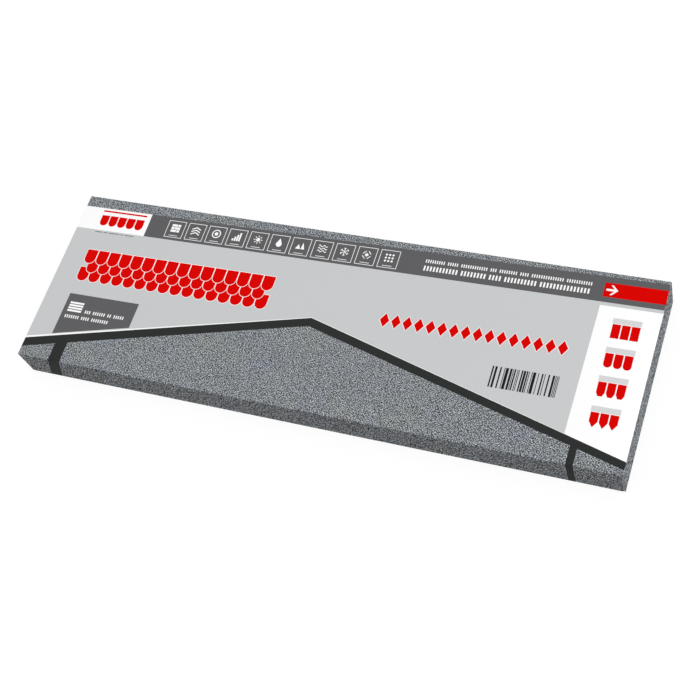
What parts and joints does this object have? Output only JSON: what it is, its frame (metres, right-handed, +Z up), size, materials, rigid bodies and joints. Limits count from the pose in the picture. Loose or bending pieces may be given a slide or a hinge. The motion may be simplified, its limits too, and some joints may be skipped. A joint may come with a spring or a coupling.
{
  "type": "asphalt shingle bundle",
  "caption": "Flat closed carton of asphalt roof shingles: a folded, printed board wrap with glued end flaps round a stack of tabbed bitumen sheets, to be carried, stacked and opened on a roof.",
  "frame": {"origin": "middle of the underside, on the floor that the pack lies on", "axes": "+X along the pack's length, +Y from its front to its back, +Z up through the lid"},
  "size_m": [1.0214, 0.322, 0.0609],
  "materials": {
    "printed_board": "matte",
    "bitumen_sheet": "matte"
  },
  "bodies": {
    "root": {"carton": "printed_board", "shingle_01": "bitumen_sheet", "shingle_02": "bitumen_sheet", "shingle_03": "bitumen_sheet", "shingle_04": "bitumen_sheet", "shingle_05": "bitumen_sheet", "shingle_06": "bitumen_sheet", "shingle_07": "bitumen_sheet", "shingle_08": "bitumen_sheet", "shingle_09": "bitumen_sheet", "shingle_10": "bitumen_sheet", "shingle_11": "bitumen_sheet", "shingle_12": "bitumen_sheet", "shingle_13": "bitumen_sheet", "shingle_14": "bitumen_sheet"}
  },
  "joints": []
}
